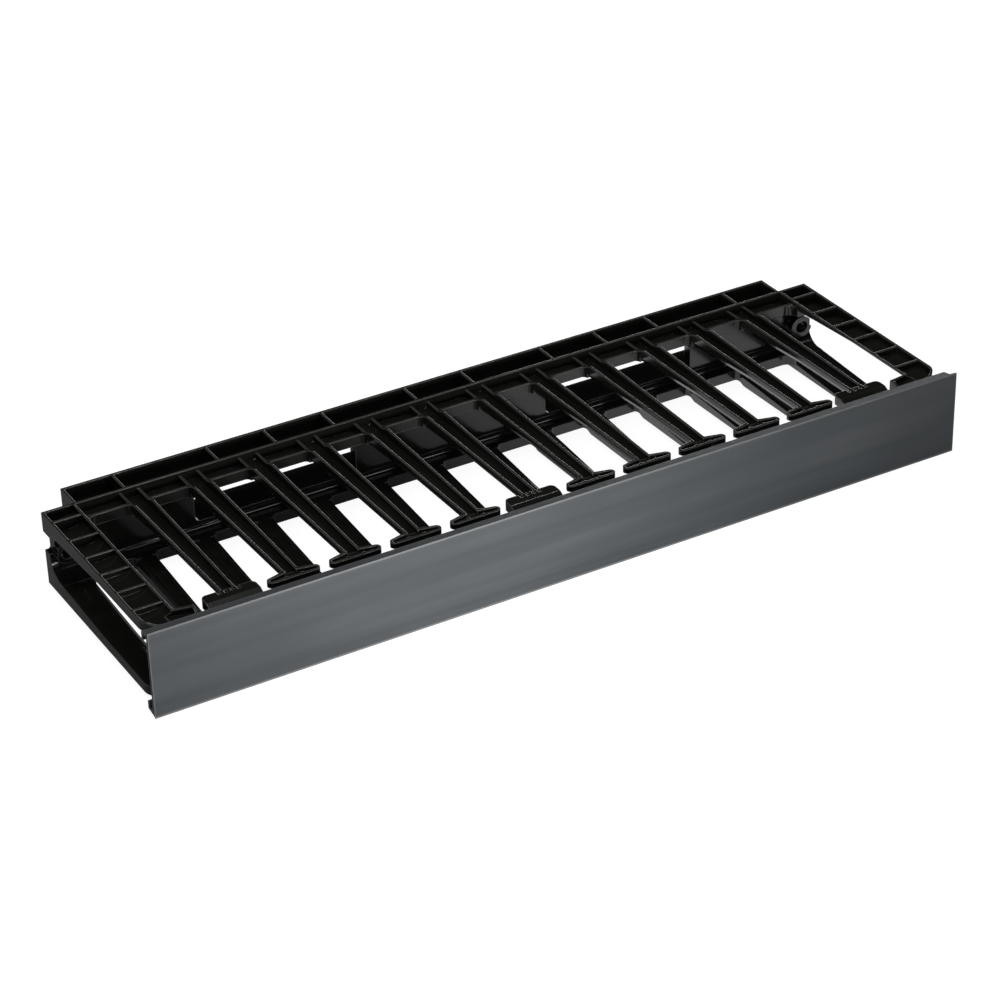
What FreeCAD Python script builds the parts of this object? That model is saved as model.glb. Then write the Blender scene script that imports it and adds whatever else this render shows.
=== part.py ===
import FreeCAD, Part
import math
import os

# Horizontal cable manager for a 19-inch rack, in millimetres.
# X runs along the rack width, -Y points out of the rack front, +Z is up.
# The origin is midway between the two rack slots, on the rack mounting face.

# ---------------------------------------------------------------- driving dimensions
EAR_SPAN = 482.6            # EIA-310 panel width
SLOT_INSET = 8.75           # slot centre to ear edge, for the 465.1 mm hole spacing
EAR_FACE_W = 18.3           # ear outside the 446 mm body, which passes the 450 mm opening
BODY_HEIGHT = 43.0          # base moulding, a little under one rack unit of 44.45
REAR_REACH = 17.1           # how far the rear rails stand behind the mounting face
FINGER_COUNT = 12
END_ROOM = 25.4             # comb length left over beside the twelve finger pitches
END_FINGER_SHIFT = 0.7      # the outermost fingers stand this much nearer the middle
WALL = 1.4                  # moulded wall and rib thickness
FLOOR = 2.0                 # moulded tray floor thickness

# comb plates: depth measured inward from the top or bottom plane
DEPTH_ROOT = 8.3
DEPTH_TIP = 5.3
DEPTH_RAIL = 13.1
TAPER_START_Y = -17.0
TAPER_END_Y = -72.0
SLOT_RIM_Y = -14.3          # rear end of the slots between the fingers
SLOT_RIM_DROP = 2.1         # the slot rims and the ribs behind them stand this much lower
STEP_END_Y = -20.0          # the fingers climb back to full height here
SLOT_CORNER_R = 2.5
END_CORNER_R = 6.0          # rear corner of the end slots, beside the arms

# fingers and their T heads
FINGER_ROOT_W = 11.9
FINGER_TIP_W = 8.6
FINGER_EDGE_R = 3.0
FINGER_FLAT_COUNT = 2
HEAD_W = 29.3
HEAD_DEPTH = 3.2
HEAD_FLOOR = 1.2
HEAD_REAR_Y = -119.3
HEAD_REAR_SLOPE = 2.0
HEAD_FRONT_Y = -126.6
HEAD_WALL = 1.5
NUB_W = 1.6
NUB_REACH = 0.9
NUB_X = 4.4
HINGE_FINGERS = (1, 6, 12)
LATCH_FINGERS = (4, 9)
HINGE_HEAD_W = 30.0
HINGE_HEAD_REAR_Y = -118.5
HINGE_HEAD_FRONT_Y = -129.6
HINGE_CORNER_R = 3.0
RAMP_START_Y = -125.8
RAMP_DROP = 2.0
TOOTH_PITCH = 3.6
TOOTH_GAP = 1.4
TOOTH_LENGTH = 3.0
TOOTH_DEPTH = 1.6

# end arms
ARM_OUTER_X = EAR_SPAN / 2
ARM_WIDTH = 18.6
ARM_FRONT_Y = -130.0
ARM_FLANK = 9.0             # width of the rounded flank that faces the cables
ARM_FLANK_RISE = 4.3
ARM_FLAT_COUNT = 3
ARM_CORNER_R = 10.0
ARM_RIB_Y = (-12.5, -34.0, -53.7, -72.7, -92.2, -111.6)
HALF_HEAD_REACH = 10.3
HALF_HEAD_REAR_Y = -120.0
HALF_HEAD_SLOPE = 2.6

# back wall and windows
WALL_DEPTH = 6.0
WALL_SKIN = 2.5
WALL_FILLET_R = 3.5
WINDOW_START_X = 60.5
WINDOW_W = 97.2
WINDOW_CORNER_R = 3.0
JAMB = 2.0                  # wall left solid beside each window
RAIL_EDGE_R = 1.5
RAIL_TRAY_R = 3.0
RAIL_FLAT_COUNT = 2
RAIL_RIB_X = (18.0, 69.5, 105.0, 139.5, 194.0)

# rack ears
EAR_THICK = 6.0
EAR_FILLET_R = 10.5
SLOT_W = 7.0
SLOT_LENGTH = 8.0
BOSS_MARGIN = 3.0
BOSS_HEIGHT = 5.0
NOTCH_DEPTH = 3.0
NOTCH_BOTTOM_Z = -1.0
NOTCH_TOP_Z = 10.25
NOTCH_R = 1.5

# cover extrusion
COVER_W = 490.0
COVER_HALF_H = 24.9
COVER_THICK = 2.0
COVER_FRONT_Y = -140.1
LIP_THICK = 1.6
LIP_DROP = 1.55             # the lip springs from the plate this far below its edge
LIP_SLOPE = math.radians(29.05)
LIP_TIP_DROP = 0.1          # the lip ends this far below the hinge axis

# hinge between cover lip and moulded bead
BEAD_R = 1.8
HINGE_CLEAR = 0.3
HINGE_DROP = 6.95           # hinge axis below the top edge of the cover
HOOK_W = 24.0
NECK_THICK = 1.2
HOOK_FLOOR_DROP = 4.3       # hook floor below the bead axis, clears the turning lip
LATCH_FROM_X = -6.0
LATCH_TO_X = 2.0
SNAP_FROM_X = 4.0
SNAP_TO_X = 6.0

# ---------------------------------------------------------------- worked-out values
HALF_H = BODY_HEIGHT / 2
OVER = 1.0                  # how far cutting tools pass the faces they open
ROOT_Z = HALF_H - DEPTH_ROOT
TIP_Z = HALF_H - DEPTH_TIP
RAIL_Z = HALF_H - DEPTH_RAIL
HEAD_Z = HALF_H - HEAD_DEPTH
RIM_Z = HALF_H - SLOT_RIM_DROP
ARM_INNER_X = ARM_OUTER_X - ARM_WIDTH
HALF_HEAD_X = ARM_INNER_X - HALF_HEAD_REACH
REAR_WIDTH = EAR_SPAN - 2 * EAR_FACE_W
FINGER_PITCH = (2 * ARM_INNER_X - END_ROOM) / FINGER_COUNT
HINGE_Z = COVER_HALF_H - HINGE_DROP
COVER_BACK_Y = COVER_FRONT_Y + COVER_THICK
HINGE_Y = COVER_BACK_Y + BEAD_R + HINGE_CLEAR
HOOK_FLOOR_Z = HINGE_Z - HOOK_FLOOR_DROP


def vec(x, y, z):
    return FreeCAD.Vector(x, y, z)


def block(x0, x1, y0, y1, z0, z1):
    """Box between two corners."""
    return Part.makeBox(x1 - x0, y1 - y0, z1 - z0, vec(x0, y0, z0))


def mirrored(shape, normal):
    return shape.mirror(vec(0, 0, 0), normal)


def both_sides(shape):
    """The shape and its mirror image across the middle of the width."""
    return [shape, mirrored(shape, vec(1, 0, 0))]


def arc(start, middle, end):
    return Part.Arc(start, middle, end).toShape()


def line(start, end):
    return Part.LineSegment(start, end).toShape()


def prism(edges, direction):
    """Solid swept straight from a closed planar chain of edges."""
    return Part.Face(Part.Wire(edges)).extrude(direction)


def rounded_plan(x0, x1, y0, y1, z0, z1, radius, corners):
    """Box whose named vertical corners (such as 'right front') are rounded."""
    solid = block(x0, x1, y0, y1, z0, z1)
    picked = []
    for edge in solid.Edges:
        first, last = edge.Vertexes[0].Point, edge.Vertexes[1].Point
        if abs(first.z - last.z) < z1 - z0 - 0.01:
            continue
        side = "left" if first.x < (x0 + x1) / 2 else "right"
        end = "front" if first.y < (y0 + y1) / 2 else "rear"
        if side + " " + end in corners:
            picked.append(edge)
    return solid.makeFillet(radius, picked)


# ---------------------------------------------------------------- tray sections
def flank_points(reach, rise, flats):
    """Steps (across, up) down a rounded flank, from the wall to its foot.

    The flank is an arc tangent to the floor, followed by the given number of flats.
    """
    radius = (reach ** 2 + rise ** 2) / (2 * rise)
    turn = math.acos(1 - rise / radius)
    points = []
    for step in range(flats + 1):
        angle = turn * (flats - step) / flats
        points.append((reach - radius * math.sin(angle), radius * (1 - math.cos(angle))))
    return points


def tray_points(a0, a1, z_top, z_floor, flank0, flank1):
    """Corners (across, height) of a section with an open top; a flank is
    (reach, rise, flats), or None for a square corner."""
    points = [(a0, z_top)]
    for across, up in flank_points(*flank0) if flank0 else [(0, 0)]:
        points.append((a0 + across, z_floor + up))
    for across, up in reversed(flank_points(*flank1) if flank1 else [(0, 0)]):
        points.append((a1 - across, z_floor + up))
    points.append((a1, z_top))
    return points


def flat_face(corners):
    return Part.Face(Part.makePolygon(list(corners) + [corners[0]]))


def skinned(sections):
    """Solid with flat sides through sections that have equally many corners."""
    faces = [flat_face(sections[0]), flat_face(sections[-1])]
    count = len(sections[0])
    for near, far in zip(sections, sections[1:]):
        for i in range(count):
            j = (i + 1) % count
            faces.append(flat_face([near[i], near[j], far[j], far[i]]))
    solid = Part.Solid(Part.makeShell(faces))
    if solid.Volume < 0:
        solid.reverse()
    return solid


def along_y(stations, points_at):
    """Skinned solid whose section at each place along Y comes from points_at(y)."""
    return skinned([[vec(a, y, z) for a, z in points_at(y)] for y in stations])


def comb_depth(y):
    """Depth of the comb plate: deep at the root, thin from the taper's end on."""
    share = (y - TAPER_START_Y) / (TAPER_END_Y - TAPER_START_Y)
    share = max(0.0, min(1.0, share))
    return DEPTH_ROOT + (DEPTH_TIP - DEPTH_ROOT) * share


# ---------------------------------------------------------------- fingers
def finger_x(number):
    """Centre of a finger, counted from 1 at the left end."""
    x = (number - (FINGER_COUNT + 1) / 2) * FINGER_PITCH
    if number == 1:
        return x + END_FINGER_SHIFT
    if number == FINGER_COUNT:
        return x - END_FINGER_SHIFT
    return x


def finger_half_width(y):
    share = (y - TAPER_START_Y) / (HEAD_REAR_Y - TAPER_START_Y)
    share = max(0.0, min(1.0, share))
    return (FINGER_ROOT_W + (FINGER_TIP_W - FINGER_ROOT_W) * share) / 2


def finger_stations(y_end):
    return [y for y in (-WALL, TAPER_START_Y, TAPER_END_Y, HEAD_REAR_Y) if y > y_end] + [y_end]


def finger_body(x, y_end):
    flank = (FINGER_EDGE_R, FINGER_EDGE_R, FINGER_FLAT_COUNT)

    def points_at(y):
        half = finger_half_width(y)
        return tray_points(x - half, x + half, HALF_H, HALF_H - comb_depth(y), flank, flank)
    return along_y(finger_stations(y_end), points_at)


def finger_tray(x, y_end):
    flank = (FINGER_EDGE_R - WALL, FINGER_EDGE_R - FLOOR, 1)

    def points_at(y):
        half = finger_half_width(y) - WALL
        floor_z = HALF_H - comb_depth(y) + FLOOR
        return tray_points(x - half, x + half, HALF_H + OVER, floor_z, flank, flank)
    return along_y(finger_stations(y_end), points_at)


def plain_head(x):
    """T head in plan: sloping shoulders and half-round ends."""
    z = HEAD_Z
    end_rear = HEAD_REAR_Y - HEAD_REAR_SLOPE
    end_r = (end_rear - HEAD_FRONT_Y) / 2
    ends = HEAD_W / 2 - end_r
    mid_y = (end_rear + HEAD_FRONT_Y) / 2
    neck = FINGER_TIP_W / 2
    corner = [vec(x + a, y, z) for a, y in (
        (neck, HEAD_REAR_Y), (ends, end_rear), (ends, HEAD_FRONT_Y),
        (-ends, HEAD_FRONT_Y), (-ends, end_rear), (-neck, HEAD_REAR_Y))]
    edges = [line(corner[0], corner[1]),
             arc(corner[1], vec(x + HEAD_W / 2, mid_y, z), corner[2]),
             line(corner[2], corner[3]),
             arc(corner[3], vec(x - HEAD_W / 2, mid_y, z), corner[4]),
             line(corner[4], corner[5]),
             line(corner[5], corner[0])]
    return prism(edges, vec(0, 0, HEAD_DEPTH))


def plain_head_tray(x):
    """Pocket of a plain head, open to the finger's tray, less the two nubs."""
    end_x = HEAD_W / 2 - HEAD_WALL
    throat = FINGER_TIP_W / 2 - WALL
    front = HEAD_FRONT_Y + HEAD_WALL
    rear = HEAD_REAR_Y - HEAD_WALL
    z = HEAD_Z + HEAD_FLOOR
    half = [(throat, HEAD_REAR_Y + OVER), (throat, rear), (end_x, rear - HEAD_REAR_SLOPE),
            (end_x, front)]
    points = half + [(-a, y) for a, y in reversed(half)]
    face = flat_face([vec(x + a, y, z) for a, y in points])
    pocket = face.extrude(vec(0, 0, HALF_H + OVER - z))
    nubs = [block(x + side - NUB_W / 2, x + side + NUB_W / 2, front - OVER,
                  front + NUB_REACH, z - OVER, HALF_H + 2 * OVER)
            for side in (-NUB_X, NUB_X)]
    return pocket.cut(nubs)


def ramp_tool():
    """Removes the plane's front edge so that the open cover clears it."""
    slope = RAMP_DROP / (RAMP_START_Y - HINGE_HEAD_FRONT_Y)
    front = ARM_FRONT_Y - OVER
    x = -EAR_SPAN / 2 - OVER
    low = HALF_H - slope * (RAMP_START_Y - front)
    face = flat_face([vec(x, RAMP_START_Y, HALF_H), vec(x, front, low),
                      vec(x, front, HALF_H + OVER), vec(x, RAMP_START_Y, HALF_H + OVER)])
    return face.extrude(vec(EAR_SPAN + 2 * OVER, 0, 0))


def hinge_head(x):
    """Closed flat head with a ramped front edge and a toothed end to the tray."""
    half = HINGE_HEAD_W / 2
    solid = rounded_plan(x - half, x + half, HINGE_HEAD_FRONT_Y, HINGE_HEAD_REAR_Y,
                         TIP_Z, HALF_H, HINGE_CORNER_R, ("left rear", "right rear"))
    solid = solid.cut(ramp_tool())
    gaps = [x + side * TOOTH_PITCH / 2 for side in (-3, -1, 1, 3)]
    return solid.cut([block(gap - TOOTH_GAP / 2, gap + TOOTH_GAP / 2,
                            HINGE_HEAD_REAR_Y - TOOTH_LENGTH, HINGE_HEAD_REAR_Y + OVER,
                            HALF_H - TOOTH_DEPTH, HALF_H + OVER) for gap in gaps])


# ---------------------------------------------------------------- hinge hooks
def hook(x, half, level, bead_z):
    """J hook in front of a head: leg, floor, neck and bead.

    level is +1 for the upper comb and -1 for the lower one.
    """
    leg_rear = HINGE_HEAD_FRONT_Y + WALL
    floor_top = HOOK_FLOOR_Z
    floor_low = HOOK_FLOOR_Z - WALL
    neck_front = HINGE_Y - BEAD_R
    low = min(TIP_Z, floor_low)
    leg = block(x - half, x + half, HINGE_HEAD_FRONT_Y, leg_rear, low, TIP_Z + FLOOR)
    floor = block(x - half, x + half, neck_front, leg_rear, floor_low, floor_top)
    parts = [leg, floor]
    if bead_z is not None:
        parts.append(block(x - half, x + half, neck_front, neck_front + NECK_THICK,
                           floor_low, bead_z))
        parts.append(Part.makeCylinder(BEAD_R, 2 * half, vec(x - half, HINGE_Y, bead_z),
                                       vec(1, 0, 0)))
    solid = parts[0].fuse(parts[1:])
    if level < 0:
        solid = mirrored(solid, vec(0, 0, 1))
    return solid


def lower_bead_z():
    """Bead height on the lower hooks, so that the turning lower lip passes under."""
    return lip_tip_z() - HINGE_CLEAR - LIP_TIP_DROP - BEAD_R


def latch_tongue(x, level):
    """Tongue of a latch head with its small snap hook alongside."""
    centre = x + (LATCH_FROM_X + LATCH_TO_X) / 2
    half = (LATCH_TO_X - LATCH_FROM_X) / 2
    tongue = hook(centre, half, level, None)
    bridge = block(centre - half, centre + half, HINGE_HEAD_FRONT_Y,
                   HEAD_FRONT_Y + HEAD_WALL, TIP_Z, HEAD_Z + HEAD_FLOOR / 2)
    snap = block(x + SNAP_FROM_X, x + SNAP_TO_X, HINGE_HEAD_FRONT_Y,
                 HEAD_FRONT_Y + HEAD_WALL, TIP_Z, HALF_H - RAMP_DROP)
    if level < 0:
        bridge = mirrored(bridge, vec(0, 0, 1))
        snap = mirrored(snap, vec(0, 0, 1))
    return tongue.fuse([bridge, snap])


# ---------------------------------------------------------------- end arms
def arm_points(y, inset, z_top, floor_up, flats):
    """Section of the right arm at y; inset and floor_up shrink it to the tray."""
    flank = (ARM_FLANK - inset, ARM_FLANK_RISE - floor_up, flats)
    floor_z = HALF_H - comb_depth(y) + floor_up
    return tray_points(ARM_INNER_X + inset, ARM_OUTER_X - inset, z_top, floor_z, flank, None)


def arm_body():
    """Right end arm with its half T head, before the trays are opened."""
    stations = (-WALL, TAPER_START_Y, TAPER_END_Y, ARM_FRONT_Y)
    arm = along_y(stations, lambda y: arm_points(y, 0.0, HALF_H, 0.0, ARM_FLAT_COUNT))
    arm = arm.common(rounded_plan(ARM_INNER_X - OVER, ARM_OUTER_X, ARM_FRONT_Y, 0.0,
                                  0.0, HALF_H, ARM_CORNER_R, ("right front",)))
    root = block(ARM_INNER_X, ARM_OUTER_X, SLOT_RIM_Y - END_CORNER_R, 0.0, ROOT_Z, HALF_H)
    half_head = half_head_prism(0.0, TIP_Z, HALF_H, ARM_INNER_X + ARM_FLANK)
    return arm.fuse([root, half_head]).cut(ramp_tool())


def half_head_prism(inset, z0, z1, inner_x):
    """Half T head that reaches from the arm toward the outermost finger."""
    rear_at_arm = HALF_HEAD_REAR_Y - inset
    rear_at_end = HALF_HEAD_REAR_Y - HALF_HEAD_SLOPE - inset
    end_x = HALF_HEAD_X + inset
    front = ARM_FRONT_Y + inset
    face = flat_face([vec(inner_x, rear_at_arm, z0), vec(end_x, rear_at_end, z0),
                      vec(end_x, front, z0), vec(inner_x, front, z0)])
    return face.extrude(vec(0, 0, z1 - z0))


def arm_trays():
    """Pockets of the right arm, one bay between each pair of cross ribs."""
    front = ARM_FRONT_Y + WALL
    stations = (-WALL, TAPER_START_Y, TAPER_END_Y, front)
    tray = along_y(stations,
                   lambda y: arm_points(y, WALL, HALF_H + OVER, FLOOR, ARM_FLAT_COUNT))
    corner_r = ARM_CORNER_R - WALL
    tray = tray.common(rounded_plan(ARM_INNER_X, ARM_OUTER_X - WALL, front, 0.0,
                                    0.0, HALF_H + 2 * OVER, corner_r, ("right front",)))
    ribs = [block(ARM_INNER_X, ARM_OUTER_X, y - WALL / 2, y + WALL / 2, 0.0,
                  HALF_H + 2 * OVER) for y in ARM_RIB_Y]
    pocket = half_head_prism(HEAD_WALL, TIP_Z + FLOOR, HALF_H + OVER,
                             ARM_INNER_X + ARM_FLANK / 2)
    return [tray.cut(ribs), pocket]


# ---------------------------------------------------------------- rear of the comb
def slot_edges():
    """Left and right edge of each slot between neighbours of the comb."""
    half = FINGER_ROOT_W / 2
    walls = [(-ARM_INNER_X, -ARM_INNER_X)]
    for number in range(1, FINGER_COUNT + 1):
        x = finger_x(number)
        walls.append((x - half, x + half))
    walls.append((ARM_INNER_X, ARM_INNER_X))
    return [(walls[i][1], walls[i + 1][0]) for i in range(len(walls) - 1)]


def band_body():
    """Strip between the rack wall and the slots, with rounded slot corners."""
    front = SLOT_RIM_Y - SLOT_CORNER_R
    reach = ARM_INNER_X + WALL
    band = block(-reach, reach, front, 0.0, ROOT_Z, HALF_H)
    cuts = [rounded_plan(left, right, front - 2 * SLOT_CORNER_R, SLOT_RIM_Y,
                         ROOT_Z - OVER, HALF_H + OVER, SLOT_CORNER_R,
                         ("left rear", "right rear")) for left, right in slot_edges()]
    return band.cut(cuts)


def band_trays():
    """Pockets between the finger roots, behind the slot rims."""
    return [block(left, right, SLOT_RIM_Y + WALL, -WALL, ROOT_Z + FLOOR, HALF_H + OVER)
            for left, right in slot_edges()]


def end_corner():
    """Large rounded rear corner of the right end slot, where the rim meets the arm."""
    x = ARM_INNER_X - END_CORNER_R
    y = SLOT_RIM_Y - END_CORNER_R
    height = RIM_Z - ROOT_Z
    corner = block(x, ARM_INNER_X + WALL, y, SLOT_RIM_Y + WALL, ROOT_Z, RIM_Z)
    return corner.cut(Part.makeCylinder(END_CORNER_R, height + 2 * OVER, vec(x, y, ROOT_Z - OVER)))


def root_step():
    """Lowers the slot rims and finger roots, with a slope back up to full height."""
    x = -ARM_INNER_X
    face = flat_face([vec(x, -WALL, RIM_Z), vec(x, SLOT_RIM_Y, RIM_Z), vec(x, STEP_END_Y, HALF_H),
                      vec(x, STEP_END_Y, HALF_H + OVER), vec(x, -WALL, HALF_H + OVER)])
    return face.extrude(vec(2 * ARM_INNER_X, 0, 0))


def rail_face(x, inset, z_top, floor_up, edge_r):
    """Section of the rear rail at x, with its rounded rear edge."""
    flank = (edge_r, edge_r, RAIL_FLAT_COUNT)
    points = tray_points(-WALL + inset, REAR_REACH - inset, z_top, RAIL_Z + floor_up,
                         None, flank)
    return flat_face([vec(x, a, z) for a, z in points])


def rail_body():
    face = rail_face(-REAR_WIDTH / 2, 0.0, HALF_H, 0.0, RAIL_EDGE_R)
    return face.extrude(vec(REAR_WIDTH, 0, 0))


def rail_trays():
    """Pockets of the rear rail between its cross ribs."""
    half = REAR_WIDTH / 2
    ribs = sorted([-x for x in RAIL_RIB_X] + list(RAIL_RIB_X))
    starts = [-half + WALL] + [x + WALL / 2 for x in ribs]
    ends = [x - WALL / 2 for x in ribs] + [half - WALL]
    return [rail_face(x0, WALL, HALF_H + OVER, FLOOR, RAIL_TRAY_R).extrude(vec(x1 - x0, 0, 0))
            for x0, x1 in zip(starts, ends)]


# ---------------------------------------------------------------- one comb
def comb():
    """Upper comb: rear rail, band, twelve fingers with heads and two end arms."""
    solids = [rail_body(), band_body()] + both_sides(arm_body()) + both_sides(end_corner())
    trays = [root_step()] + rail_trays() + band_trays()
    for tray in arm_trays():
        trays += both_sides(tray)
    for number in range(1, FINGER_COUNT + 1):
        x = finger_x(number)
        if number in HINGE_FINGERS:
            solids += [finger_body(x, HINGE_HEAD_REAR_Y - WALL), hinge_head(x)]
            trays.append(finger_tray(x, HINGE_HEAD_REAR_Y))
        else:
            solids += [finger_body(x, HEAD_REAR_Y - WALL), plain_head(x)]
            trays += [finger_tray(x, HEAD_REAR_Y), plain_head_tray(x)]
    return solids[0].fuse(solids[1:]).cut(trays)


# ---------------------------------------------------------------- back wall
def wall_profile():
    """Back wall section, flared at top and bottom where it meets the combs."""
    x = -REAR_WIDTH / 2
    front = -WALL_DEPTH
    knee = front - WALL_FILLET_R
    bend = WALL_FILLET_R * (1 - math.sqrt(0.5))
    inside = ROOT_Z + FLOOR / 2
    foot = ROOT_Z - WALL_FILLET_R
    edges = []
    for sign in (1, -1):
        edges.append(line(vec(x, 0, sign * inside), vec(x, knee, sign * inside)))
        edges.append(line(vec(x, knee, sign * inside), vec(x, knee, sign * ROOT_Z)))
        edges.append(arc(vec(x, knee, sign * ROOT_Z),
                         vec(x, front - bend, sign * (ROOT_Z - bend)),
                         vec(x, front, sign * foot)))
    edges.append(line(vec(x, front, foot), vec(x, front, -foot)))
    edges.append(line(vec(x, 0, inside), vec(x, 0, -inside)))
    return Part.sortEdges(edges)[0]


def window_tool():
    """Rounded opening through the right half of the wall, level with the rails' inner faces."""
    tool = block(WINDOW_START_X, WINDOW_START_X + WINDOW_W, -WALL_DEPTH - OVER, OVER,
                 -RAIL_Z, RAIL_Z)
    edges = [e for e in tool.Edges if e.BoundBox.YLength > WALL_DEPTH]
    return tool.makeFillet(WINDOW_CORNER_R, edges)


def back_wall():
    """Wall on the mounting plane with two windows, cored from behind."""
    solid = prism(wall_profile(), vec(REAR_WIDTH, 0, 0))
    inner_rib, outer_rib = RAIL_RIB_X[0], RAIL_RIB_X[-1]
    bays = [(inner_rib + WALL / 2, WINDOW_START_X - JAMB),
            (WINDOW_START_X + WINDOW_W + JAMB, outer_rib - WALL / 2),
            (outer_rib + WALL / 2, REAR_WIDTH / 2 - JAMB)]
    skin_y = -WALL_DEPTH + WALL_SKIN
    core_half_h = RAIL_Z - WALL
    tools = both_sides(window_tool())
    for x0, x1 in bays:
        tools += both_sides(block(x0, x1, skin_y, OVER, -core_half_h, core_half_h))
    middle = inner_rib - WALL / 2
    tools.append(block(-middle, middle, skin_y, OVER, -core_half_h, core_half_h))
    return solid.cut(tools)


# ---------------------------------------------------------------- rack ears
def obround(x, width, length, y0, y1):
    """Slot-shaped prism along Y, long side across the rack."""
    r = width / 2
    shift = (length - width) / 2
    left, right = x - shift, x + shift
    edges = [line(vec(left, y0, r), vec(right, y0, r)),
             arc(vec(right, y0, r), vec(right + r, y0, 0), vec(right, y0, -r)),
             line(vec(right, y0, -r), vec(left, y0, -r)),
             arc(vec(left, y0, -r), vec(left - r, y0, 0), vec(left, y0, r))]
    return prism(edges, vec(0, y1 - y0, 0))


def ear():
    """Right rack ear: plate, concave blends into both arms, slot, boss and notch."""
    x = ARM_INNER_X
    span = ARM_OUTER_X - ARM_INNER_X
    foot = ROOT_Z - EAR_FILLET_R
    inside = ROOT_Z + FLOOR / 2
    knee = -EAR_THICK - EAR_FILLET_R
    bend = EAR_FILLET_R * (1 - math.sqrt(0.5))
    edges = []
    for sign in (1, -1):
        edges.append(line(vec(x, 0, sign * inside), vec(x, knee, sign * inside)))
        edges.append(line(vec(x, knee, sign * inside), vec(x, knee, sign * ROOT_Z)))
        edges.append(arc(vec(x, knee, sign * ROOT_Z),
                         vec(x, -EAR_THICK - bend, sign * (ROOT_Z - bend)),
                         vec(x, -EAR_THICK, sign * foot)))
    edges.append(line(vec(x, -EAR_THICK, foot), vec(x, -EAR_THICK, -foot)))
    edges.append(line(vec(x, 0, inside), vec(x, 0, -inside)))
    plate = prism(Part.sortEdges(edges)[0], vec(span, 0, 0))
    slot_x = ARM_OUTER_X - SLOT_INSET
    boss = obround(slot_x, SLOT_W + 2 * BOSS_MARGIN, SLOT_LENGTH + 2 * BOSS_MARGIN,
                   -EAR_THICK - BOSS_HEIGHT, -EAR_THICK + OVER)
    slot = obround(slot_x, SLOT_W, SLOT_LENGTH, -EAR_THICK - BOSS_HEIGHT - OVER, OVER)
    notch = block(ARM_OUTER_X - NOTCH_DEPTH, ARM_OUTER_X + OVER,
                  -EAR_THICK - BOSS_HEIGHT - OVER, OVER, NOTCH_BOTTOM_Z, NOTCH_TOP_Z)
    inner = [e for e in notch.Edges
             if e.BoundBox.YLength > EAR_THICK and e.BoundBox.XMax < ARM_OUTER_X]
    notch = notch.makeFillet(NOTCH_R, inner)
    return plate.fuse(boss).cut([slot, notch])


# ---------------------------------------------------------------- the two pieces
def base_frame():
    """The black base: one moulding of two combs, back wall, ears and hinge hooks."""
    upper = comb()
    lower = mirrored(upper, vec(0, 0, 1))
    extras = [lower, back_wall()] + both_sides(ear())
    for number in HINGE_FINGERS:
        x = finger_x(number)
        extras.append(hook(x, HOOK_W / 2, 1, HINGE_Z))
        extras.append(hook(x, HOOK_W / 2, -1, lower_bead_z()))
    for number in LATCH_FINGERS:
        extras.append(latch_tongue(finger_x(number), 1))
        extras.append(latch_tongue(finger_x(number), -1))
    return upper.fuse(extras).removeSplitter()


def lip_tip_z():
    """Height of the end of the cover lip, level with the hinge axis."""
    return HINGE_Z - LIP_TIP_DROP


def cover_half_edges(sign, x):
    """Section of one lip, from the plate's edge round to its inner face."""
    def at(y, z):
        return vec(x, y, sign * z)
    cavity = BEAD_R + HINGE_CLEAR
    inner_y = HINGE_Y + cavity
    outer_y = inner_y + LIP_THICK
    tip_r = LIP_THICK / 2
    tip_z = lip_tip_z() + tip_r
    fall = math.tan(LIP_SLOPE)
    spring_z = COVER_HALF_H - LIP_DROP
    under_z = spring_z - LIP_THICK / math.cos(LIP_SLOPE)
    bend_y = outer_y - LIP_THICK / 4
    bend_z = spring_z - fall * (bend_y - COVER_BACK_Y)
    shoulder_z = bend_z - LIP_THICK / 2
    inner_z = under_z - fall * (inner_y - COVER_BACK_Y)
    return [line(at(COVER_FRONT_Y, COVER_HALF_H), at(COVER_BACK_Y, COVER_HALF_H)),
            line(at(COVER_BACK_Y, COVER_HALF_H), at(COVER_BACK_Y, spring_z)),
            line(at(COVER_BACK_Y, spring_z), at(bend_y, bend_z)),
            line(at(bend_y, bend_z), at(outer_y, shoulder_z)),
            line(at(outer_y, shoulder_z), at(outer_y, tip_z)),
            arc(at(outer_y, tip_z), at(outer_y - tip_r, tip_z - tip_r), at(inner_y, tip_z)),
            line(at(inner_y, tip_z), at(inner_y, inner_z)),
            line(at(inner_y, inner_z), at(COVER_BACK_Y, under_z))], under_z


def front_cover():
    """The cover: one extrusion with an inward lip along each long edge."""
    x = -COVER_W / 2
    upper, under_z = cover_half_edges(1, x)
    lower, _ = cover_half_edges(-1, x)
    front = line(vec(x, COVER_FRONT_Y, COVER_HALF_H), vec(x, COVER_FRONT_Y, -COVER_HALF_H))
    back = line(vec(x, COVER_BACK_Y, under_z), vec(x, COVER_BACK_Y, -under_z))
    edges = Part.sortEdges(upper + lower + [front, back])[0]
    return prism(edges, vec(COVER_W, 0, 0))


def save(name, shape):
    """Write one piece as its own file, after checking that it is one sound solid."""
    if len(shape.Solids) != 1 or not shape.isValid():
        raise ValueError(name + " is not one valid solid")
    solid = shape.Solids[0]
    solid.exportStep("parts/" + name + ".step")
    print(name, "volume cm3", round(solid.Volume / 1000, 2))


os.makedirs("parts", exist_ok=True)
save("front_cover", front_cover())
save("base_frame", base_frame())
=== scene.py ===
# %% [markdown]
# A horizontal cable manager is a black moulded base, shaped like two combs joined by a back wall,
# with an extruded cover clipped across its front. The base comes ready from the CAD model. The
# cover gets a finer section here. The rest of the lesson is about finishes and light: how one
# glossy and one satin plastic are told apart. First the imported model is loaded, its size noted.

import math

import bmesh
import bpy
from mathutils import Matrix, Vector


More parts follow.
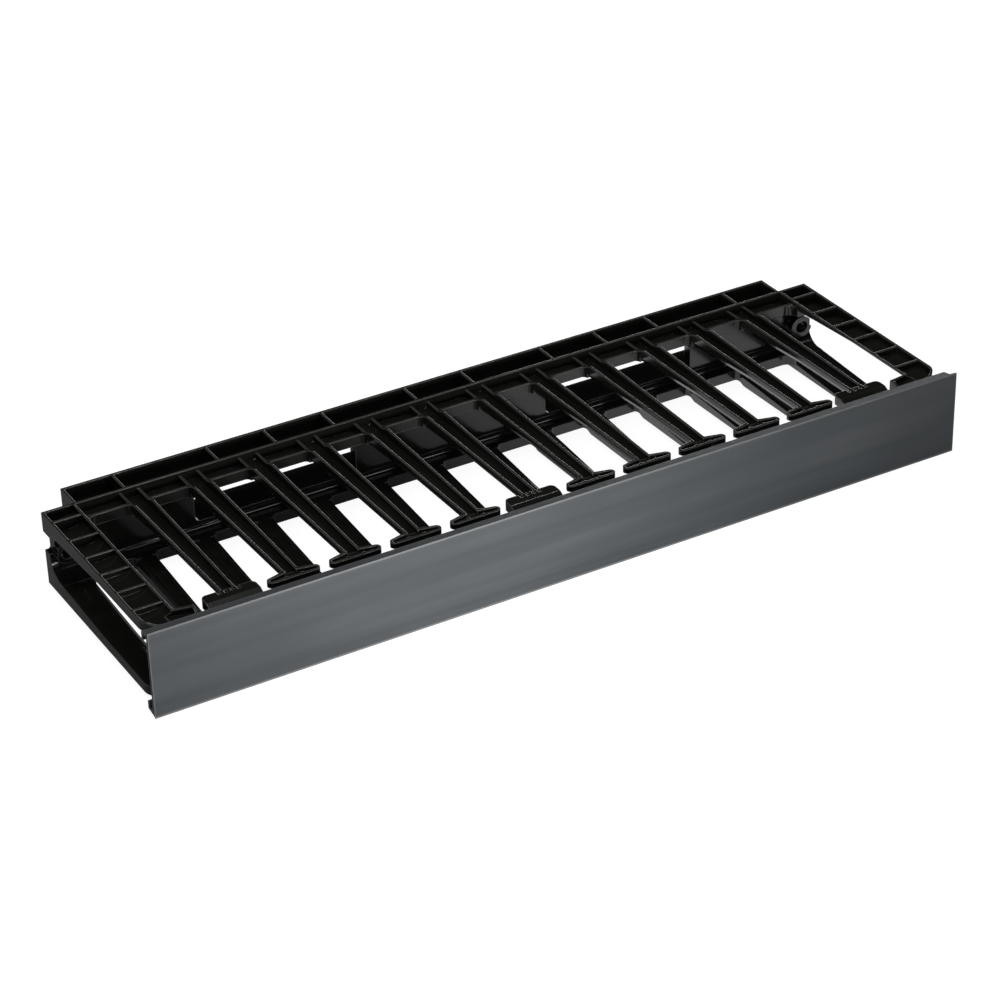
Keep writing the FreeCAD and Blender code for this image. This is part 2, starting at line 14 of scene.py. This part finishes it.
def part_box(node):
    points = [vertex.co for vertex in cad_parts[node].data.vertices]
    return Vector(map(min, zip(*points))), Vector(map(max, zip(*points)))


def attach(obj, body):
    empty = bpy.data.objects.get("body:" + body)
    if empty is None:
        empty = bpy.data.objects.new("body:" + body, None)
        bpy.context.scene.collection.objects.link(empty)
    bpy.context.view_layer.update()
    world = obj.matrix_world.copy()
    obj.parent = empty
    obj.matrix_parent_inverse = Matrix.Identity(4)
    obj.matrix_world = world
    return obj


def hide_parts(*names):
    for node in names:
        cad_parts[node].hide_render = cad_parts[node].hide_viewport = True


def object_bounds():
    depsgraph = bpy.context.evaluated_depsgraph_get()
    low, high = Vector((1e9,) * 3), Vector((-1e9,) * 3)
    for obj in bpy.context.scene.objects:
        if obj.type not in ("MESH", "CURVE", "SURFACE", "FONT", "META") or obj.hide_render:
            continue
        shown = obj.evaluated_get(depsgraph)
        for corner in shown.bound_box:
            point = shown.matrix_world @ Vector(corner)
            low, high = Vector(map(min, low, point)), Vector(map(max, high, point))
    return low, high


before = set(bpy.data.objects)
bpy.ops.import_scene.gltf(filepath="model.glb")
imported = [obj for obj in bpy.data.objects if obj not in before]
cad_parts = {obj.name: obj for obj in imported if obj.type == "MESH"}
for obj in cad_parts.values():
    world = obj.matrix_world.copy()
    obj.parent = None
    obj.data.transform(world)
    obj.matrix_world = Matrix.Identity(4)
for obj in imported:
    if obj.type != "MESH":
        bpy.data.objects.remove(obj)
cad_box = [list(corner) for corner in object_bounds()]
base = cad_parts["base_frame"]
COVER_BODY = "cover"
MM = 0.001
print("nodes", sorted(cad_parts), "box", cad_box)

# %% [markdown]
# Both plastics are Principled shaders. A small helper makes the material and hands back its node
# tree and a short way to add nodes, so each finish below only says what is special about it.


# %% Material helpers
def new_finish(name):
    """A material with a bare Principled shader, and a helper that adds nodes to it."""
    material = bpy.data.materials.new(name)
    material.use_nodes = True
    tree = material.node_tree
    shader = tree.nodes["Principled BSDF"]

    def add(kind, **inputs):
        node = tree.nodes.new(kind)
        for key, value in inputs.items():
            node.inputs[key.replace("_", " ")].default_value = value
        return node
    print("new finish", name)
    return material, tree, shader, add


def colour_mix(add, first=None, second=None):
    """A Mix node for two colours. Its colour sockets are numbers 6 and 7, its result number 2."""
    mix = add("ShaderNodeMix")
    mix.data_type = "RGBA"
    for socket, colour in ((6, first), (7, second)):
        if colour:
            mix.inputs[socket].default_value = colour
    return mix


def dress(piece, material):
    """Give a piece one material in place of what it has."""
    piece.data.materials.clear()
    piece.data.materials.append(material)
    print(piece.name, "wears", material.name)


# %% [markdown]
# The outer edges of the plastic get a painted highlight: a paler colour along them stands in for
# the light that their slight rounding catches. A painted mask would need texture coordinates, and
# the Pointiness value needs a dense mesh. An Ambient Occlusion node that looks inward needs
# neither:
# only close to an outer edge does a ray into the plastic meet another face at once.

# %% Edge finder
EDGE_REACH = 0.9 * MM
EDGE_SAMPLES = 8
FLAT_OPENNESS = 0.95
EDGE_OPENNESS = 0.50


def edge_finder(tree, add):
    """One on the outer edges of a piece, zero on its flats and in its inner corners."""
    inward = add("ShaderNodeAmbientOcclusion", Distance=EDGE_REACH)
    inward.inside = True
    inward.only_local = True
    inward.samples = EDGE_SAMPLES
    highlight_mask = add("ShaderNodeMapRange", From_Min=FLAT_OPENNESS, From_Max=EDGE_OPENNESS)
    tree.links.new(inward.outputs["AO"], highlight_mask.inputs["Value"])
    return highlight_mask


print("edges are looked for within", EDGE_REACH / MM, "mm")

# %% [markdown]
# The base is injection moulded in black, glossy enough to mirror a window on its rounded edges.
# A real moulding is never quite even: the gloss drifts over a few centimetres and the surface has
# a very fine orange-peel. The mould rounds every edge a little. A Bevel node does this for the
# light alone, which keeps the mesh small on a piece with so many ribs.

# %% Moulded black plastic
BLACK = (0.011, 0.0108, 0.0098, 1)
# A paler colour painted along the outer edges as a highlight.
PAINTED_HIGHLIGHT_BLACK = (0.085, 0.085, 0.078, 1)
BLACK_GLOSSIEST, BLACK_DULLEST = 0.09, 0.19
DRIFT_SCALE = 45.0
PEEL_SCALE = 900.0
PEEL_STRENGTH = 0.06
PEEL_HEIGHT = 0.3 * MM
MOULD_ROUND = 0.45 * MM
ROUND_SAMPLES = 6


def moulded_black():
    """Glossy black with drifting gloss, orange-peel, rounded edges, and a painted highlight along
    the outer edges.
    """
    material, tree, shader, add = new_finish("moulded_black")
    place = add("ShaderNodeTexCoord")
    drift = add("ShaderNodeTexNoise", Scale=DRIFT_SCALE, Detail=3.0)
    gloss = add("ShaderNodeMapRange", To_Min=BLACK_GLOSSIEST, To_Max=BLACK_DULLEST)
    peel = add("ShaderNodeTexNoise", Scale=PEEL_SCALE, Detail=2.0)
    edge = add("ShaderNodeBevel", Radius=MOULD_ROUND)
    edge.samples = ROUND_SAMPLES
    # The edge mask paints the highlight colour along the outer edges.
    highlight_mask = edge_finder(tree, add)
    colour = colour_mix(add, BLACK, PAINTED_HIGHLIGHT_BLACK)
    bump = add("ShaderNodeBump", Strength=PEEL_STRENGTH, Distance=PEEL_HEIGHT)
    link = tree.links.new
    link(place.outputs["Object"], drift.inputs["Vector"])
    link(drift.outputs["Fac"], gloss.inputs["Value"])
    link(gloss.outputs["Result"], shader.inputs["Roughness"])
    link(highlight_mask.outputs["Result"], colour.inputs["Factor"])
    link(colour.outputs[2], shader.inputs["Base Color"])
    link(place.outputs["Object"], peel.inputs["Vector"])
    link(peel.outputs["Fac"], bump.inputs["Height"])
    link(edge.outputs["Normal"], bump.inputs["Normal"])
    link(bump.outputs["Normal"], shader.inputs["Normal"])
    return material


dress(base, moulded_black())

# %% [markdown]
# The cover is one long extrusion: a plate with a lip folded back along each long edge. The plain
# solid carries the hinge, and this dressed one has the finer section of the real profile: behind
# a small chamfer the lip runs back almost level. An extrusion is a section drawn out along X, so
# the section is a short list of points, worked out from the thicknesses. The lip's rear corner
# stays within 6 mm of the hinge axis, so that it turns past the base.

# %% Section of the cover
low_corner, high_corner = [Vector(corner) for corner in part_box("front_cover")]
PLATE = 2.0 * MM
LIP_REACH = 7.6 * MM
LIP_FALL = 2.2 * MM
LIP_SKIN = 1.4 * MM
LIP_END_Z = 17.85 * MM
LIP_TIP_CUT = LIP_SKIN / 4
CORNER_BACK = 0.65 * MM
CORNER_FALL = 0.8 * MM


def lip_section(top):
    """Upper half of the section in y and z, from the top front edge round to the plate's back."""
    front = low_corner.y
    slope = (LIP_FALL - CORNER_FALL) / (LIP_REACH - CORNER_BACK)
    rear = front + LIP_REACH
    inner = rear - LIP_SKIN
    return [(front, top), (front + CORNER_BACK, top - CORNER_FALL),
            (rear, top - LIP_FALL), (rear, LIP_END_Z + LIP_TIP_CUT),
            (rear - LIP_TIP_CUT, LIP_END_Z), (inner + LIP_TIP_CUT, LIP_END_Z),
            (inner, LIP_END_Z + LIP_TIP_CUT),
            (inner, top - LIP_FALL - LIP_SKIN + slope * LIP_SKIN),
            (front + PLATE, top - CORNER_FALL - LIP_SKIN - slope * PLATE)]


print("half section has", len(lip_section(high_corner.z)), "points")

# %% [markdown]
# A prism helper closes any section into a solid. The lips end 3 mm short at the right, where only
# the plate runs on, so the cover is two prisms: the full section, and the plate for the last
# stretch. A Boolean joins them into one skin, and its result is applied at once.

# %% Cover extrusion
LIP_SHORT = 3.0 * MM
PLATE_BACK_FALL = 0.25 * MM
EDGE_ROUND = 0.35 * MM
EDGE_ROUND_STEPS = 3


def prism(section, x_from, x_to):
    """Closed mesh of a section in y and z, drawn out along x."""
    form = bmesh.new()
    near = [form.verts.new((x_from, y, z)) for y, z in section]
    far = [form.verts.new((x_to, y, z)) for y, z in section]
    form.faces.new(near)
    form.faces.new(list(reversed(far)))
    for step in range(len(section)):
        after = (step + 1) % len(section)
        form.faces.new((near[after], near[step], far[step], far[after]))
    bmesh.ops.recalc_face_normals(form, faces=form.faces)
    mesh = bpy.data.meshes.new("prism")
    form.to_mesh(mesh)
    form.free()
    return mesh


def whole_section(upper):
    """The upper half of a section and its mirror image below."""
    return upper + [(y, -z) for y, z in reversed(upper)]


def cover_extrusion():
    """The whole cover as one mesh, with softened edges."""
    front, top, right = low_corner.y, high_corner.z, high_corner.x
    full = prism(whole_section(lip_section(top)), low_corner.x, right - LIP_SHORT)
    step_top = top - CORNER_FALL
    half_plate = [(front, top), (front + CORNER_BACK, step_top),
                  (front + PLATE, step_top - PLATE_BACK_FALL)]
    plate = prism(whole_section(half_plate), right - 2 * LIP_SHORT, right)
    piece = bpy.data.objects.new("cover_extrusion", full)
    end = bpy.data.objects.new("cover_end", plate)
    for thing in (piece, end):
        bpy.context.scene.collection.objects.link(thing)
    join = piece.modifiers.new("join", "BOOLEAN")
    join.operation = "UNION"
    join.solver = "EXACT"
    join.object = end
    joined = bpy.data.meshes.new_from_object(
        piece.evaluated_get(bpy.context.evaluated_depsgraph_get()))
    piece.modifiers.clear()
    piece.data = joined
    bpy.data.objects.remove(end)
    soften = piece.modifiers.new("soften", "BEVEL")
    soften.width = EDGE_ROUND
    soften.segments = EDGE_ROUND_STEPS
    soften.limit_method = "ANGLE"
    soften.harden_normals = True
    print("cover extrusion", len(joined.vertices), "points")
    return piece


dressed_cover = cover_extrusion()
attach(dressed_cover, COVER_BODY)
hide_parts("front_cover")

# %% [markdown]
# The cover's plastic is satin and blue-black. The die leaves very faint lines along its length.
# The noise is stretched along the length so that it turns into streaks, and a second, softer
# noise makes them come and go. They change the tone a little and the gloss a little more.

# %% Satin blue-black plastic
STREAK_STRETCH = (2.0, 1.0, 130.0)
CLOUD_STRETCH = (9.0, 1.0, 40.0)
SATIN_DARK = (0.054, 0.060, 0.065, 1)
SATIN_LIGHT = (0.078, 0.084, 0.089, 1)
# A paler colour painted along the cover's outer edges as a highlight.
PAINTED_HIGHLIGHT_SATIN = (0.15, 0.155, 0.155, 1)
SATIN_GLOSSIEST, SATIN_DULLEST = 0.38, 0.50
STREAKS_START, STREAKS_FULL = 0.12, 0.40
STREAK_STRENGTH = 0.05
STREAK_HEIGHT = 0.2 * MM
SATIN_SPECULAR = 0.2


def extruded_satin():
    """Satin plastic with faint streaks along the extrusion and a painted highlight along its outer
    edges.
    """
    material, tree, shader, add = new_finish("extruded_satin")
    place = add("ShaderNodeTexCoord")
    stretch = add("ShaderNodeMapping", Scale=STREAK_STRETCH)
    streaks = add("ShaderNodeTexNoise", Scale=1.0, Detail=4.0)
    clouds = add("ShaderNodeMapping", Scale=CLOUD_STRETCH)
    cloudy = add("ShaderNodeTexNoise", Scale=1.0, Detail=2.0)
    both = add("ShaderNodeMath")
    both.operation = "MULTIPLY"
    gloss = add("ShaderNodeMapRange", To_Min=SATIN_GLOSSIEST, To_Max=SATIN_DULLEST)
    tone = add("ShaderNodeMapRange", From_Min=STREAKS_START, From_Max=STREAKS_FULL)
    colour = colour_mix(add, SATIN_DARK, SATIN_LIGHT)
    # The edge mask paints the highlight colour along the cover's outer edges.
    highlight_mask = edge_finder(tree, add)
    painted_highlight_colour = colour_mix(add, second=PAINTED_HIGHLIGHT_SATIN)
    bump = add("ShaderNodeBump", Strength=STREAK_STRENGTH, Distance=STREAK_HEIGHT)
    link = tree.links.new
    link(place.outputs["Object"], stretch.inputs["Vector"])
    link(stretch.outputs["Vector"], streaks.inputs["Vector"])
    link(place.outputs["Object"], clouds.inputs["Vector"])
    link(clouds.outputs["Vector"], cloudy.inputs["Vector"])
    link(streaks.outputs["Fac"], both.inputs[0])
    link(cloudy.outputs["Fac"], both.inputs[1])
    link(both.outputs[0], tone.inputs["Value"])
    link(tone.outputs["Result"], colour.inputs["Factor"])
    link(colour.outputs[2], painted_highlight_colour.inputs[6])
    link(highlight_mask.outputs["Result"], painted_highlight_colour.inputs["Factor"])
    link(painted_highlight_colour.outputs[2], shader.inputs["Base Color"])
    link(streaks.outputs["Fac"], gloss.inputs["Value"])
    link(gloss.outputs["Result"], shader.inputs["Roughness"])
    link(streaks.outputs["Fac"], bump.inputs["Height"])
    link(bump.outputs["Normal"], shader.inputs["Normal"])
    shader.inputs["Specular IOR Level"].default_value = SATIN_SPECULAR
    return material


dress(dressed_cover, extruded_satin())

# %% [markdown]
# The camera stands high on the left and looks down along the part. A long lens keeps the far end
# from shrinking much. Yaw turns it from straight back toward the right, pitch tips it down, and a
# small roll levels the long edges the way a hand-held camera sees them.

# %% Camera
CAMERA_AT = Vector((-0.7086, -1.3066, 0.8357))
CAMERA_YAW = math.radians(29.57)
CAMERA_PITCH = math.radians(30.78)
CAMERA_ROLL = math.radians(-1.57)
CAMERA_LENS = 110.4
SENSOR_WIDTH = 36.0


def aim(position, yaw, pitch, roll):
    """Camera matrix from its place and three angles."""
    ahead = Vector((math.sin(yaw) * math.cos(pitch), math.cos(yaw) * math.cos(pitch),
                    -math.sin(pitch)))
    level = Vector((math.cos(yaw), -math.sin(yaw), 0))
    above = level.cross(ahead)
    right = level * math.cos(roll) + above * math.sin(roll)
    up = above * math.cos(roll) - level * math.sin(roll)
    turn = Matrix((right, up, -ahead)).transposed().to_4x4()
    return Matrix.Translation(position) @ turn


lens = bpy.data.cameras.new("camera")
lens.lens = CAMERA_LENS
lens.sensor_width = SENSOR_WIDTH
camera = bpy.data.objects.new("camera", lens)
camera.matrix_world = aim(CAMERA_AT, CAMERA_YAW, CAMERA_PITCH, CAMERA_ROLL)
bpy.context.scene.collection.objects.link(camera)
bpy.context.scene.camera = camera
print("camera at", tuple(CAMERA_AT))

# %% [markdown]
# Mirror rays decide how glossy black plastic looks. If the whole mirrored floor were white, every
# upright wall would turn grey. So the floor is dim to mirror rays, apart from a bright patch under
# the right half and behind the cover, which draws light streaks along the undersides of the
# fingers there. A smooth ramp along X times one along Y gives the patch.

# %% Bright patch in the mirrored floor
PATCH_RAMPS = (("X", -0.06, 0.12), ("Y", -0.13, -0.10))
MIRRORED_DIM, MIRRORED_BRIGHT = 0.07, 1.0
FLOOR_GAP = 0.2 * MM
FLOOR_Z = cad_box[0][2] - FLOOR_GAP


def bright_patch(tree):
    """Strength of the mirrored floor's glow, from the place on the floor."""
    place = tree.nodes.new("ShaderNodeTexCoord")
    split = tree.nodes.new("ShaderNodeSeparateXYZ")
    share = tree.nodes.new("ShaderNodeMath")
    share.operation = "MULTIPLY"
    tree.links.new(place.outputs["Object"], split.inputs[0])
    for slot, (axis, dark, light) in enumerate(PATCH_RAMPS):
        ramp = tree.nodes.new("ShaderNodeMapRange")
        ramp.interpolation_type = "SMOOTHSTEP"
        ramp.inputs["From Min"].default_value = dark
        ramp.inputs["From Max"].default_value = light
        tree.links.new(split.outputs[axis], ramp.inputs["Value"])
        tree.links.new(ramp.outputs["Result"], share.inputs[slot])
    glow = tree.nodes.new("ShaderNodeMapRange")
    glow.inputs["To Min"].default_value = MIRRORED_DIM
    glow.inputs["To Max"].default_value = MIRRORED_BRIGHT
    tree.links.new(share.outputs[0], glow.inputs["Value"])
    return glow.outputs["Result"]


print("floor at", round(FLOOR_Z, 4), "m")

# %% [markdown]
# The studio stands on a white floor. Light Path tells the rays apart. To scattered light the floor
# is plain pale paint. To the camera it is a white glow with a share of paint added, so that the
# background is white and the shadow under the part stays. Each kind of ray gets its own mix.

# %% Floor
FLOOR_HALF = 6.0
FLOOR_PAINT = 0.8
SEEN_GLOW = 0.95
SEEN_PAINT = 0.2


def grey(value):
    """A neutral colour."""
    return (value, value, value, 1)


def stage_object(name, corners, faces, material):
    """A mesh that belongs to the studio and not to the part."""
    mesh = bpy.data.meshes.new(name)
    mesh.from_pydata(corners, [], faces)
    mesh.materials.append(material)
    thing = bpy.data.objects.new(name, mesh)
    bpy.context.scene.collection.objects.link(thing)
    print("stage has", name)
    return thing


def studio_floor(half):
    """A square floor that scattered, mirror, passing and camera rays see differently."""
    material = bpy.data.materials.new("floor_white")
    material.use_nodes = True
    tree = material.node_tree
    tree.nodes.clear()
    output = tree.nodes.new("ShaderNodeOutputMaterial")
    path = tree.nodes.new("ShaderNodeLightPath")
    seen = tree.nodes.new("ShaderNodeBsdfDiffuse")
    seen.inputs["Color"].default_value = grey(FLOOR_PAINT)
    for ray in ("Is Glossy Ray", "Is Transmission Ray", "Is Camera Ray"):
        paint = tree.nodes.new("ShaderNodeBsdfDiffuse")
        white = tree.nodes.new("ShaderNodeEmission")
        both = tree.nodes.new("ShaderNodeAddShader")
        mix = tree.nodes.new("ShaderNodeMixShader")
        paint.inputs["Color"].default_value = grey(SEEN_PAINT)
        white.inputs["Strength"].default_value = SEEN_GLOW
        if ray == "Is Glossy Ray":
            tree.links.new(bright_patch(tree), white.inputs["Strength"])
        tree.links.new(paint.outputs[0], both.inputs[0])
        tree.links.new(white.outputs[0], both.inputs[1])
        tree.links.new(path.outputs[ray], mix.inputs[0])
        tree.links.new(seen.outputs[0], mix.inputs[1])
        tree.links.new(both.outputs[0], mix.inputs[2])
        seen = mix
    tree.links.new(seen.outputs[0], output.inputs["Surface"])
    corners = [(-half, -half, FLOOR_Z), (half, -half, FLOOR_Z),
               (half, half, FLOOR_Z), (-half, half, FLOOR_Z)]
    stage_object("floor", corners, [(0, 1, 2, 3)], material)


studio_floor(FLOOR_HALF)

# %% [markdown]
# Beyond the floor the world is white to the camera, and to rays that mirror or pass through. For
# all other rays it is only a dim fill, so the white background doesn't light the part.

# %% Sky
SKY_FILL = 0.15


def seen_directly(tree):
    """One where a camera, glossy or transmission ray looks, zero for all other rays."""
    path = tree.nodes.new("ShaderNodeLightPath")
    first = tree.nodes.new("ShaderNodeMath")
    both = tree.nodes.new("ShaderNodeMath")
    first.operation = "MAXIMUM"
    both.operation = "MAXIMUM"
    tree.links.new(path.outputs["Is Camera Ray"], first.inputs[0])
    tree.links.new(path.outputs["Is Glossy Ray"], first.inputs[1])
    tree.links.new(first.outputs[0], both.inputs[0])
    tree.links.new(path.outputs["Is Transmission Ray"], both.inputs[1])
    return both.outputs[0]


def white_sky(strength):
    """A world that is white where it is seen, and dim as a light."""
    world = bpy.data.worlds.new("studio")
    bpy.context.scene.world = world
    world.use_nodes = True
    tree = world.node_tree
    tree.nodes.clear()
    output = tree.nodes.new("ShaderNodeOutputWorld")
    mix = tree.nodes.new("ShaderNodeMixShader")
    dim = tree.nodes.new("ShaderNodeBackground")
    white = tree.nodes.new("ShaderNodeBackground")
    dim.inputs["Color"].default_value = grey(1)
    dim.inputs["Strength"].default_value = strength
    white.inputs["Color"].default_value = grey(1)
    tree.links.new(seen_directly(tree), mix.inputs[0])
    tree.links.new(dim.outputs[0], mix.inputs[1])
    tree.links.new(white.outputs[0], mix.inputs[2])
    tree.links.new(mix.outputs[0], output.inputs["Surface"])
    print("sky fill", strength)


bpy.context.scene.view_settings.view_transform = "Standard"
white_sky(SKY_FILL)

# %% [markdown]
# Black plastic shows what it mirrors. Under an even white sky its flat tops turn grey, so a dark
# cloth wall stands all round the set, as is done in a product studio. Only mirror rays see it.
# Flat tops mirror the cloth and stay black, while rounded edges mirror the soft boxes.

# %% Dark cloth all round
WALL_RADIUS = 3.0
WALL_SIDES = 48
WALL_TOP = WALL_RADIUS * math.tan(math.radians(72))
CLOTH_BLACK = 0.01
CLOTH_UNSEEN_BY = ("visible_camera", "visible_diffuse", "visible_transmission",
                   "visible_volume_scatter", "visible_shadow")


def cloth_wall(radius, low, high, sides):
    """A round wall of black cloth that only mirror rays meet."""
    material = bpy.data.materials.new("dark_cloth")
    material.use_nodes = True
    shader = material.node_tree.nodes["Principled BSDF"]
    shader.inputs["Base Color"].default_value = grey(CLOTH_BLACK)
    shader.inputs["Roughness"].default_value = 1.0
    turns = [step * math.tau / sides for step in range(sides)]
    corners = [(radius * math.cos(turn), radius * math.sin(turn), z)
               for z in (low, high) for turn in turns]
    faces = [(step, (step + 1) % sides, sides + (step + 1) % sides, sides + step)
             for step in range(sides)]
    wall = stage_object("cloth_wall", corners, faces, material)
    for sight in CLOTH_UNSEEN_BY:
        setattr(wall, sight, False)
    print("cloth wall from", round(low, 2), "to", round(high, 2), "m")


cloth_wall(WALL_RADIUS, FLOOR_Z, WALL_TOP, WALL_SIDES)

# %% [markdown]
# Five soft boxes light the part. The large one above gives the plain light. A small one close to
# the cover, left of its middle, makes the tone fall off toward the right end. Two strips and a
# rim box stand where rounded front, side and rear edges mirror them as thin bright lines.

# %% Soft boxes
MIDDLE = (0, 0, 0)
FINGERS = (0, -0.06, 0)
# name, place, point aimed at, size, watts
SOFT_BOXES = (
    ("top_box", (-0.25, 0.1, 1.6), MIDDLE, (0.8, 0.7), 7.0),
    ("front_box", (-0.08, -0.40, 0.06), (-0.08, -0.14, 0), (0.16, 0.10), 1.1),
    ("edge_strip_front", (0.68, -0.72, 1.26), FINGERS, (0.9, 0.12), 2.0),
    ("edge_strip_right", (1.25, 1.45, 0.12), FINGERS, (1.0, 0.16), 2.0),
    ("rim_box", (0.68, 0.48, 1.37), FINGERS, (0.25, 0.25), 3.5),
)


def soft_box(name, at, look_at, size, power):
    """A rectangular area lamp that the camera doesn't see."""
    light = bpy.data.lights.new(name, "AREA")
    light.shape = "RECTANGLE"
    light.size, light.size_y = size
    light.energy = power
    lamp = bpy.data.objects.new(name, light)
    direction = Vector(look_at) - Vector(at)
    lamp.rotation_mode = "QUATERNION"
    lamp.rotation_quaternion = direction.to_track_quat("-Z", "Y")
    lamp.location = at
    lamp.visible_camera = False
    bpy.context.scene.collection.objects.link(lamp)
    print(name, power, "W")


for row in SOFT_BOXES:
    soft_box(*row)
